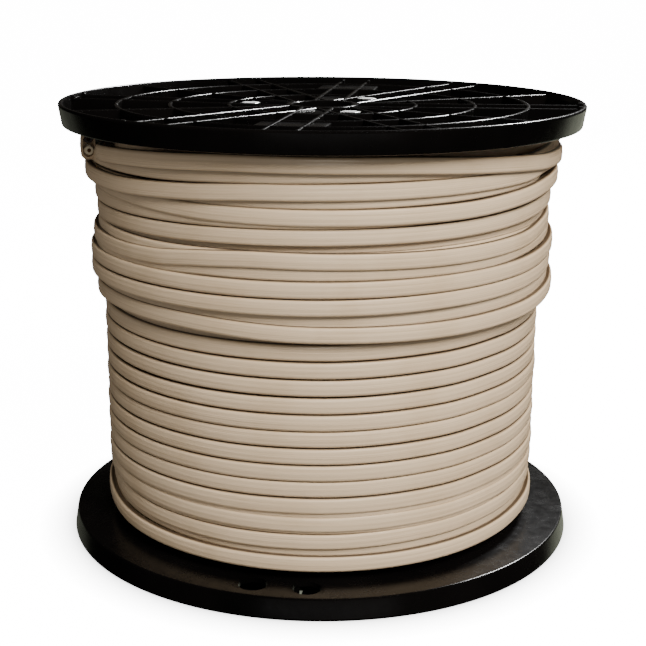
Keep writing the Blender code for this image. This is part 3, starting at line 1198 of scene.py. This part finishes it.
@dataclass
class CrossingTurns:
    """The turns that cross each other, above and at the foot, with the layer that shows between them."""

    sweep: TapeSweep
    steps: int = 144
    turns: tuple[LooseTurn, ...] = (
        LooseTurn("top",
                  ((-175, 250.5), (-150, 254.5), (-130, 256.6), (-105, 258.9), (-80, 258.5),
                   (-50, 254.6), (-37, 252.2), (-26, 250.3), (0, 249.5), (60, 258.0), (120, 259.5)),
                  ((-175, 144.0), (-160, 144.2), (-156.5, 145.2), (-152, 150.0), (-147, 151.8),
                   (-137, 152.0), (-90, 152.0), (-40, 151.5), (-20, 151.0), (0, 150.5), (60, 149.6),
                   (100, 147.6), (150, 146.2))),
        LooseTurn("over_top",
                  ((-175, 258.6), (-90, 258.6), (-45, 258.0), (-20, 257.6), (20, 258.6), (90, 258.8)),
                  ((-175, 134.0), (-150, 136.0), (-144, 146.5), (-138, 148.8), (-132, 147.0),
                   (-124, 136.0), (-30, 134.0), (-22, 142.0), (-14, 147.6), (-8, 148.8), (0, 149.2),
                   (40, 148.5), (70, 145.6), (100, 140.5))),
        LooseTurn("second",
                  ((-175, 239.5), (-146, 238.7), (-122, 240.7), (-102, 243.3), (-60, 244.4),
                   (-37, 245.3), (-24, 248.2), (20, 248.4), (90, 248.0), (150, 244.0)),
                  ((-175, 149.3), (-155, 149.3), (-140, 149.6), (-90, 149.2), (-30, 148.2), (0, 148.4),
                   (90, 148.6))),
        LooseTurn("third",
                  ((-175, 236.0), (-160, 235.4), (-146, 233.9), (-130, 231.6), (-115, 230.0),
                   (-92, 229.5), (-60, 230.1), (-37, 232.9), (-24, 235.7), (-10, 237.2), (20, 237.4),
                   (90, 237.0), (150, 236.6)),
                  ((-175, 145.6), (-140, 146.2), (-90, 147.4), (-40, 148.4), (-20, 148.8), (20, 147.6),
                   (90, 146.8))),
        LooseTurn("fourth",
                  ((-175, 215.0), (-150, 216.0), (-130, 216.5), (-110, 217.6), (-92, 218.3),
                   (-60, 219.2), (-37, 221.0), (-20, 223.3), (20, 225.8), (90, 225.0), (150, 219.5)),
                  ((-175, 142.4), (-140, 144.0), (-90, 145.2), (-30, 145.0), (20, 144.4), (90, 143.6))),
        LooseTurn("fifth",
                  ((-175, 200.0), (-149, 200.0), (-131, 201.0), (-118, 203.8), (-103, 205.8),
                   (-84, 205.3), (-60, 204.8), (-37, 205.6), (-20, 208.8), (20, 214.0), (90, 213.0),
                   (150, 206.0)),
                  ((-175, 145.2), (-130, 147.0), (-100, 147.6), (-60, 147.2), (-35, 145.8),
                   (-20, 144.4), (20, 144.2), (90, 145.2))),
        LooseTurn("sixth",
                  ((-175, 188.7), (-150, 189.0), (-92, 189.5), (-60, 190.1), (-37, 191.0), (-20, 193.2),
                   (20, 198.6), (90, 198.4), (150, 192.3)),
                  ((0, 147.2),)),
        LooseTurn("seventh",
                  ((-175, 178.5), (-150, 178.8), (-120, 179.1), (-92, 179.3), (-60, 180.3),
                   (-37, 181.2), (-20, 182.8), (20, 188.4), (90, 188.2), (150, 182.2)),
                  ((-175, 147.2), (-90, 146.8), (-40, 146.4), (0, 145.8), (90, 146.4))),
        LooseTurn("eighth",
                  ((-175, 164.6), (-150, 166.2), (-130, 166.2), (-92, 163.6), (-60, 163.1),
                   (-37, 164.3), (-22, 167.0), (20, 173.5), (90, 172.0), (150, 168.0)),
                  ((-175, 144.0), (-130, 144.4), (-90, 145.4), (-50, 146.2), (-25, 148.0), (0, 147.6),
                   (90, 145.4))),
        LooseTurn("under_top",
                  ((-175, 251.5), (-133, 250.2), (-105, 252.3), (-72, 253.7), (-37, 251.5), (0, 256.0),
                   (90, 257.0)),
                  ((-175, 147.4), (-90, 148.2), (-30, 146.6), (0, 146.6), (90, 147.0))),
        LooseTurn("under_second",
                  ((-175, 239.2), (-130, 239.0), (-92, 238.9), (-61, 240.0), (-37, 242.0), (0, 245.0),
                   (90, 245.0)),
                  ((-175, 145.0), (-120, 145.6), (-90, 146.6), (-60, 146.4), (-45, 146.2), (-37, 145.8),
                   (-30, 145.2), (-22, 142.2), (0, 142.6), (90, 144.6))),
        LooseTurn("under_third",
                  ((-175, 226.0), (-150, 226.2), (-92, 228.0), (-37, 230.6), (0, 235.4), (90, 234.6)),
                  ((-175, 143.4), (-150, 144.2), (-120, 145.2), (-90, 145.8), (-65, 145.2),
                   (-45, 143.4), (0, 142.4), (90, 142.4))),
        LooseTurn("under_fourth",
                  ((-175, 209.6), (-150, 210.0), (-92, 212.8), (-37, 214.4), (0, 219.0), (90, 217.0)),
                  ((0, 141.4),)),
        LooseTurn("under_fifth",
                  ((-175, 197.5), (-150, 197.0), (-130, 197.4), (-115, 198.7), (-92, 198.9),
                   (-49, 198.9), (-31, 201.2), (0, 205.6), (90, 204.6)),
                  ((-175, 143.6), (-150, 145.6), (-90, 145.6), (-40, 144.6), (0, 144.0), (90, 144.0))),
        LooseTurn("under_fifth_left",
                  ((-175, 206.0), (-150, 205.5), (-130, 204.9), (-110, 205.2), (-90, 205.0), (0, 208.0),
                   (90, 207.0)),
                  ((-175, 141.8), (-158, 142.6), (-145, 144.4), (-122, 145.2), (-104, 144.4),
                   (-60, 143.0), (90, 142.4))),
        LooseTurn("under_seventh",
                  ((-175, 172.0), (-130, 171.6), (-92, 171.4), (-37, 172.8), (0, 178.0), (90, 180.2),
                   (150, 175.6)),
                  ((-175, 142.4), (-90, 143.0), (-40, 143.8), (-15, 144.6), (20, 143.6), (90, 142.8))),
        LooseTurn("lowest",
                  ((-175, 30.0), (-165, 28.2), (-156, 26.2), (-148, 25.0), (-130, 24.3), (-90, 23.9),
                   (-60, 24.4), (-40, 25.6), (-25, 27.2), (-10, 28.0), (60, 28.6), (120, 29.0),
                   (160, 30.2)),
                  ((-175, 141.0), (-90, 140.4), (0, 140.6), (90, 140.0))),
        LooseTurn("under_lowest",
                  ((-175, 35.0), (-90, 32.2), (-40, 33.6), (0, 36.0), (90, 37.2)),
                  ((0, 136.8),)),
        LooseTurn("under_eighth",
                  ((-175, 160.2), (-150, 160.0), (-130, 158.6), (-110, 157.0), (-90, 156.4),
                   (-40, 158.0), (20, 164.0), (90, 164.0), (150, 162.0)),
                  ((0, 136.4),)),
        LooseTurn("sliver_low",
                  ((-175, 48.8), (-150, 48.0), (-130, 46.9), (-90, 46.9), (-60, 47.3), (-45, 48.2),
                   (-33, 50.4), (30, 52.0), (90, 54.0), (150, 55.0)),
                  ((0, 138.5),)),
        LooseTurn("sliver_high",
                  ((-175, 54.6), (-150, 54.8), (-90, 55.4), (-60, 56.4), (-30, 58.6), (30, 60.0),
                   (90, 62.0), (150, 62.0)),
                  ((0, 138.3),)),
    )

    def build(self, mat: bpy.types.Material) -> bpy.types.Object:
        """Build and dress the crossing turns.

        Args:
            mat: The jacket material.

        Returns:
            The crossing turns.
        """
        paths = [turn.path(self.sweep.thickness, self.steps) for turn in self.turns]
        obj = self.sweep.build("crossing_turns", paths, True, mat)
        finish_piece(obj, mat, Slot.JACKET)
        return obj


@dataclass
class InnerWinding:
    """The layers under the turns that show, as one turned solid in shade."""

    bore: float = 56.3 * MM
    section: tuple[Point2, ...] = ((126.0, 13.8), (132.6, 19.5), (133.6, 30.0), (135.4, 46.0),
                                   (135.4, 156.0), (138.6, 162.0), (141.0, 172.0), (141.0, 200.0),
                                   (140.6, 225.0), (141.6, 240.0), (139.6, 250.0), (132.0, 256.0),
                                   (128.0, 265.2))

    def build(self, mat: bpy.types.Material) -> None:
        """Build and dress the core.

        Args:
            mat: The jacket material.
        """
        outer = [(r * MM, z * MM) for r, z in self.section]
        bm = bmesh.new()
        lathe_mesh(bm, list(reversed(outer)) + [(self.bore, outer[0][1]), (self.bore, outer[-1][1])], 160)
        obj = link_mesh("inner_winding", bm)
        obj.data.uv_layers.new(name="run")
        shade_soft(obj)
        finish_piece(obj, mat, Slot.JACKET, "cable_winding")


@dataclass
class CutEnd:
    """The free end of the cable: the tail against the flange and the cut conductors.

    Attributes:
        start: Where the tail comes out of the winding, in degrees, as free and stop are.
        free: Where it lies on the turns.
        stop: Where it is cut.
        bend: The degrees over which it lifts and widens.
        flare: The degrees over which it springs out and thickens.
        sunk: How deep it starts in the winding.
        proud: The degrees that the two insulations stand out of the cut.
    """

    sweep: TapeSweep
    inner: float = 149.6 * MM
    middle: float = 252.8 * MM
    start: float = 86.0
    free: float = 102.0
    stop: float = 202.4
    bend: float = 16.0
    flare: float = 8.0
    tuck: float = 2.2 * MM
    tuck_before: float = 14.0
    tuck_over: float = 38.0
    spring: float = 1.15 * MM
    splay_up: float = 3.0 * MM
    sunk: float = 7.0 * MM
    wider: float = 0.66
    thicker: float = 0.66
    conductor: float = 2.6 * MM
    core: float = 1.1 * MM
    spacing: float = 3.4 * MM
    shift: float = 1.2 * MM
    recess: float = 3.5 * MM
    jacket_walls: Point2 = (2.2 * MM, 1.2 * MM)
    hollow_rounding: float = 1.4 * MM
    proud: Point2 = (0.4, 0.7)
    copper_back: float = 0.35
    paper: float = 0.75 * MM

    def share(self, angle: float, over: float) -> float:
        """Return how far an eased change has come that ends at the cut, from 0 to 1.

        Args:
            angle: The angle in degrees.
            over: The angle that the change takes.

        Returns:
            The share.
        """
        return ease(1.0 - (self.stop - angle) / over)

    def spot(self, angle: float, height: float = 0.0) -> Vector:
        """Return a point of the tail, bent where it leaves the winding and where it splays.

        Args:
            angle: The angle in degrees.
            height: How far the point is above the middle line.

        Returns:
            The point.
        """
        inwards = self.share(min(angle + self.tuck_before, self.stop), self.tuck_over)
        r = self.inner + self.sweep.thickness / 2 - self.tuck * inwards
        r += self.spring * self.share(angle, self.flare)
        r -= self.sunk * ease((self.free - angle) / (self.free - self.start))
        z = self.middle + self.splay_up * self.share(angle, self.bend) + height
        return Vector((*polar(r, angle), z))

    def splay(self, obj: bpy.types.Object) -> None:
        """Open the jacket towards its cut, through its thickness and its width.

        Args:
            obj: The swept tail or its cutter.
        """
        for vertex in obj.data.vertices:
            angle = math.degrees(math.atan2(vertex.co.y, vertex.co.x)) % 360.0
            middle = self.spot(angle)
            core_r = math.hypot(middle.x, middle.y)
            thicker = 1.0 + self.thicker * self.share(angle, self.flare)
            r = core_r + (math.hypot(vertex.co.x, vertex.co.y) - core_r) * thicker
            z = middle.z + (vertex.co.z - middle.z) * (1.0 + self.wider * self.share(angle, self.bend))
            vertex.co = (*polar(r, angle), z)

    def rod(self, bm: bmesh.types.BMesh, points: list[Vector], outer: float, inner: float,
            sides: int) -> None:
        """Add a round tube, or a rod where the inner radius is nothing.

        Args:
            bm: The bmesh to add to.
            points: The middle line.
            outer: The outer radius.
            inner: The inner radius.
            sides: The number of sides.
        """
        loops = []
        order = [(p, outer) for p in range(len(points))]
        if inner > 0.0:
            order += [(p, inner) for p in reversed(range(len(points)))]
        for i, radius in order:
            ahead = points[min(i + 1, len(points) - 1)] - points[max(i - 1, 0)]
            ahead.normalize()
            side = ahead.cross(Vector((0.0, 0.0, 1.0))).normalized()
            up = side.cross(ahead)
            loops.append([bm.verts.new(points[i] + radius * (math.cos(2 * math.pi * k / sides) * side
                                                             + math.sin(2 * math.pi * k / sides) * up))
                          for k in range(sides)])
        faces = []
        if inner > 0.0:
            pairs = list(zip(loops, loops[1:] + loops[:1]))
        else:
            pairs = list(zip(loops, loops[1:]))
            faces += [bm.faces.new(loops[0]), bm.faces.new(list(reversed(loops[-1])))]
        for one, two in pairs:
            for k in range(sides):
                j = (k + 1) % sides
                faces.append(bm.faces.new((one[k], two[k], two[j], one[j])))
        bmesh.ops.recalc_face_normals(bm, faces=faces)

    def arc(self, start: float, stop: float, steps: int, height: float = 0.0) -> list[Vector]:
        """Return points of the tail between two angles."""
        return [self.spot(start + (stop - start) * i / steps, height) for i in range(steps + 1)]

    def strand(self, name: str, points: list[Vector], radii: Point2, mat: bpy.types.Material,
               sides: int = 24) -> bpy.types.Object:
        """Build and dress one round strand of the cut.

        Args:
            name: The piece's name.
            points: Its middle line.
            radii: Its outer and inner radius.
            mat: Its material.
            sides: The number of sides.

        Returns:
            The strand.
        """
        bm = bmesh.new()
        self.rod(bm, points, *radii, sides)
        obj = link_mesh(name, bm)
        shade_soft(obj, 40.0)
        finish_piece(obj, mat, Slot.END_JACKET)
        return obj

    def build(self, jacket: bpy.types.Material,
              finishes: dict[str, bpy.types.Material]) -> list[bpy.types.Object]:
        """Build and dress the tail and its conductors.

        Args:
            jacket: The jacket material.
            finishes: The insulation, paper and copper materials by name.

        Returns:
            The tail, the conductors and the paper.
        """
        tail = self.sweep.build("cable_tail", [self.arc(self.start, self.stop, 90)], False, jacket)
        deep = self.stop - math.degrees(self.recess / self.inner)
        hollow = TapeSweep(width=self.sweep.width - self.jacket_walls[0], rounding=self.hollow_rounding,
                           thickness=self.sweep.thickness - self.jacket_walls[1])
        cutter = hollow.build("tail_hollow", [self.arc(deep, self.stop + 2.0, 8)], False, jacket)
        self.splay(tail)
        self.splay(cutter)
        cut = tail.modifiers.new("hollow", "BOOLEAN")
        cut.operation = "DIFFERENCE"
        cut.solver = "EXACT"
        cut.object = cutter
        baked(tail)
        bpy.data.objects.remove(cutter, do_unlink=True)
        shade_soft(tail, 50.0)
        finish_piece(tail, jacket, Slot.END_JACKET, "cable_end")
        made = [tail]
        for label, height, proud in (("upper", self.shift + self.spacing, self.proud[0]),
                                     ("lower", self.shift - self.spacing, self.proud[1])):
            sleeve = self.arc(deep - 1.0, self.stop + proud, 6, height)
            wire = self.arc(deep - 1.0, self.stop + proud - self.copper_back, 6, height)
            made.append(self.strand(f"insulation_{label}", sleeve,
                                    (self.conductor, self.core + 0.15 * MM), finishes[label]))
            made.append(self.strand(f"copper_{label}", wire, (self.core, 0.0), finishes["copper"]))
        curl = [self.spot(self.stop - 1.5 + 0.32 * i, 0.2 * MM + 0.35 * MM * math.sin(i * 0.9))
                for i in range(9)]
        made.append(self.strand("paper_curl", curl, (self.paper, 0.0), finishes["paper"], 12))
        return made


# The studio

@dataclass(frozen=True)
class Lamp:
    """An area light that faces the middle of the reel.

    Attributes:
        name: The light's name.
        place: Where it stands.
        size: Its width and height.
        power: Its power in watts.
        shine: How it shows.
        reach: The pieces that it falls on.
        tint: Its colour.
    """

    name: str
    place: Point3
    size: Point2
    power: float
    shine: Shine
    reach: Reach = Reach.ALL
    tint: Colour = WHITE

    def build(self, aim: Point3, pieces: tuple[bpy.types.Object, ...]) -> None:
        """Add the light.

        Args:
            aim: The point that it faces.
            pieces: The pieces that it falls on, or none for all of them.
        """
        data = bpy.data.lights.new(self.name, "AREA")
        data.shape = "RECTANGLE"
        data.size, data.size_y = self.size
        data.energy = self.power
        data.color = self.tint
        obj = bpy.data.objects.new(self.name, data)
        obj.location = self.place
        obj.rotation_euler = (Vector(aim) - Vector(self.place)).to_track_quat("-Z", "Y").to_euler()
        obj.visible_glossy = self.shine is Shine.GLINT
        obj.visible_diffuse = self.shine is Shine.MATT
        bpy.context.scene.collection.objects.link(obj)
        if pieces:
            reached = bpy.data.collections.new(f"{self.name}_reach")
            for piece in pieces:
                reached.objects.link(piece)
            obj.light_linking.receiver_collection = reached


@dataclass
class Studio:
    """The floor, the soft lights and the camera."""

    lamps: tuple[Lamp, ...] = (
        Lamp("key_soft", (1.0, -1.65, 1.9), (1.5, 1.2), 136.0, Shine.MATT),
        Lamp("jacket_front", (0.06, -1.5, 0.75), (0.16, 0.12), 7.0, Shine.GLINT, Reach.CABLE, WARM),
        Lamp("jacket_top", (0.55, -0.95, 1.9), (0.3, 0.3), 16.0, Shine.GLINT, Reach.CABLE, WARM),
        Lamp("back_fill", (1.0, 1.2, 1.45), (0.35, 0.35), 30.0, Shine.MATT),
        Lamp("rib_glint", (1.04, 1.28, 1.62), (0.4, 0.3), 130.0, Shine.GLINT, Reach.REEL),
        Lamp("web_sheen", (0.72, 1.5, 1.15), (1.0, 0.55), 1.2, Shine.GLINT, Reach.REEL),
        Lamp("horizon", (0.0, 2.0, 0.5), (2.4, 0.3), 0.14, Shine.GLINT, Reach.REEL, (1.0, 0.88, 0.74)),
        Lamp("base_wall", (0.1, -1.5, -0.18), (1.6, 0.3), 0.6, Shine.GLINT, Reach.FLANGES),
        Lamp("bolt_glint", (0.1, 1.6, 0.47), (0.6, 0.3), 2.0, Shine.GLINT, Reach.FASTENINGS),
        Lamp("low_right", (0.8, 1.3, -0.35), (1.4, 1.1), 3.3, Shine.GLINT, Reach.REEL, OLIVE),
        Lamp("low_left", (-0.8, 1.3, -0.35), (1.2, 1.1), 0.7, Shine.GLINT, Reach.REEL, OLIVE),
    )
    aim: Point3 = (0.0, 0.0, 0.13)
    floor_drop: float = 0.2 * MM
    floor_front: float = 8.0
    floor_back: float = 2.2
    floor_half: float = 9.0
    cove: float = 1.5
    wall_top: float = 9.0
    # Painted shadow: over the first ring the floor's glow rises from nothing, a soft contact shadow round the
    # reel's foot. Painted shade: over the second ring the floor turns from near-black under the reel to pale.
    painted_shadow_ring: Point2 = (0.158, 0.19)
    shade_ring: Point2 = (0.152, 0.170)
    camera_place: Point3 = (0.0, -0.86943, 0.36611)
    camera_pitch: float = 15.1935
    camera_roll: float = 0.3267
    focal_pixels: float = 1363.44
    centre_pixels: Point2 = (321.125, 326.160)
    glow: float = 15.0
    surround: float = 0.36

    def backdrop(self) -> None:
        """Add the plain pale floor that curves up into a wall, seen by the camera alone in its glow, with a
        painted contact shadow where the glow fades at the reel's foot and painted shade under the reel.
        """
        bm = bmesh.new()
        section = [(-self.floor_front, -self.floor_drop), (self.floor_back, -self.floor_drop)]
        for degrees in range(6, 91, 6):
            turn = math.radians(degrees)
            section.append((self.floor_back + self.cove * math.sin(turn),
                            self.cove - self.cove * math.cos(turn) - self.floor_drop))
        section.append((self.floor_back + self.cove, self.wall_top))
        left = [bm.verts.new((-self.floor_half, y, z)) for y, z in section]
        right = [bm.verts.new((self.floor_half, y, z)) for y, z in section]
        for i in range(len(section) - 1):
            bm.faces.new((left[i], right[i], right[i + 1], left[i + 1])).smooth = True
        obj = link_mesh("studio_floor", bm)
        mat, shader = new_material("studio_white")
        shader.inputs["Roughness"].default_value = 0.9
        shader.inputs["Emission Color"].default_value = (1.0, 1.0, 1.0, 1.0)
        place = mat.node_tree.nodes.new("ShaderNodeTexCoord").outputs["Object"]
        far = mat.node_tree.nodes.new("ShaderNodeVectorMath")
        far.operation = "LENGTH"
        mat.node_tree.links.new(place, far.inputs[0])
        # Painted shade: the floor is near-black under the reel, so the flange holes show dark. Painted
        # shadow: the glow fades to nothing towards the reel's foot.
        under = [(self.shade_ring[0], (0.02, 0.02, 0.02)), (self.shade_ring[1], (0.85, 0.85, 0.85))]
        feed(mat, shader,
             Emission_Strength=add_range(mat, far.outputs["Value"], self.painted_shadow_ring, (0.0, self.glow)),
             Base_Color=add_ramp(mat, far.outputs["Value"], under))
        obj.data.materials.append(mat)
        obj.visible_glossy = False
        obj.visible_diffuse = False
        obj.visible_shadow = False

    def camera(self) -> None:
        """Add the camera at the photo's viewing angle."""
        data = bpy.data.cameras.new("photo_camera")
        data.sensor_width = SENSOR_WIDTH
        data.lens = self.focal_pixels / PHOTO_WIDTH * SENSOR_WIDTH
        data.shift_x = (PHOTO_WIDTH / 2 - self.centre_pixels[0]) / PHOTO_WIDTH
        data.shift_y = (self.centre_pixels[1] - PHOTO_WIDTH / 2) / PHOTO_WIDTH
        obj = bpy.data.objects.new("photo_camera", data)
        turn = (Matrix.Rotation(math.radians(90.0 - self.camera_pitch), 4, "X")
                @ Matrix.Rotation(math.radians(self.camera_roll), 4, "Z"))
        obj.matrix_world = Matrix.Translation(self.camera_place) @ turn
        bpy.context.scene.collection.objects.link(obj)
        bpy.context.scene.camera = obj

    def build(self, flanges: tuple[bpy.types.Object, ...], fastenings: tuple[bpy.types.Object, ...],
              cable: tuple[bpy.types.Object, ...]) -> None:
        """Add the floor, the world, the lights and the camera.

        Args:
            flanges: The black mouldings.
            fastenings: The zinc bolts, nuts and washers.
            cable: The turns, the tail and its conductors.
        """
        self.backdrop()
        world = bpy.data.worlds.new("studio")
        world.use_nodes = True
        world.node_tree.nodes["Background"].inputs["Color"].default_value = (1.0, 1.0, 1.0, 1.0)
        world.node_tree.nodes["Background"].inputs["Strength"].default_value = self.surround
        bpy.context.scene.world = world
        world.cycles_visibility.glossy = False
        pieces = {Reach.ALL: (), Reach.REEL: (*flanges, *fastenings), Reach.FLANGES: flanges,
                  Reach.FASTENINGS: fastenings, Reach.CABLE: cable}
        for lamp in self.lamps:
            lamp.build(self.aim, pieces[lamp.reach])
        self.camera()


def main() -> None:
    """Build the reel, its cable and the studio."""
    logging.basicConfig(level=logging.INFO, format="%(name)s %(message)s")
    plastic = MouldedPlastic().build()
    jacket = JacketPlastic().build()
    zinc = ZincPlate().build()
    finishes = {
        "upper": Insulation("black_insulation", (0.05, 0.042, 0.045), (0.025, 0.02, 0.022), 0.22).build(),
        "lower": Insulation("white_insulation", (0.80, 0.70, 0.50), (0.58, 0.48, 0.32)).build(),
        "paper": Insulation("filler_paper", (0.66, 0.58, 0.46), (0.50, 0.42, 0.31), 0.8).build(),
        # Painted shade: the cut copper is coloured near-black, for the shade deep in the cut.
        "copper": Insulation("cut_copper", (0.13, 0.07, 0.04), (0.05, 0.03, 0.02), 0.45, 1.0).build(),
    }
    lower = Flange("flange_lower", Turned.UPRIGHT, "flange_bottom").build(plastic)
    upper = Flange("flange_upper", Turned.OVER, "flange_top").build(plastic)
    Drum().build(plastic)
    InnerWinding().build(jacket)
    sweep = TapeSweep()
    level = LevelTurns(sweep).build(jacket)
    crossing = CrossingTurns(sweep).build(jacket)
    end = CutEnd(sweep).build(jacket, finishes)
    fastenings: list[bpy.types.Object] = []
    for number, angle in enumerate(BOLT_ANGLES, start=1):
        fastenings += TieBolt(number, angle).build(zinc)
    Studio().build((lower, upper), tuple(fastenings), (level, crossing, *end))


if __name__ == "__main__":
    main()
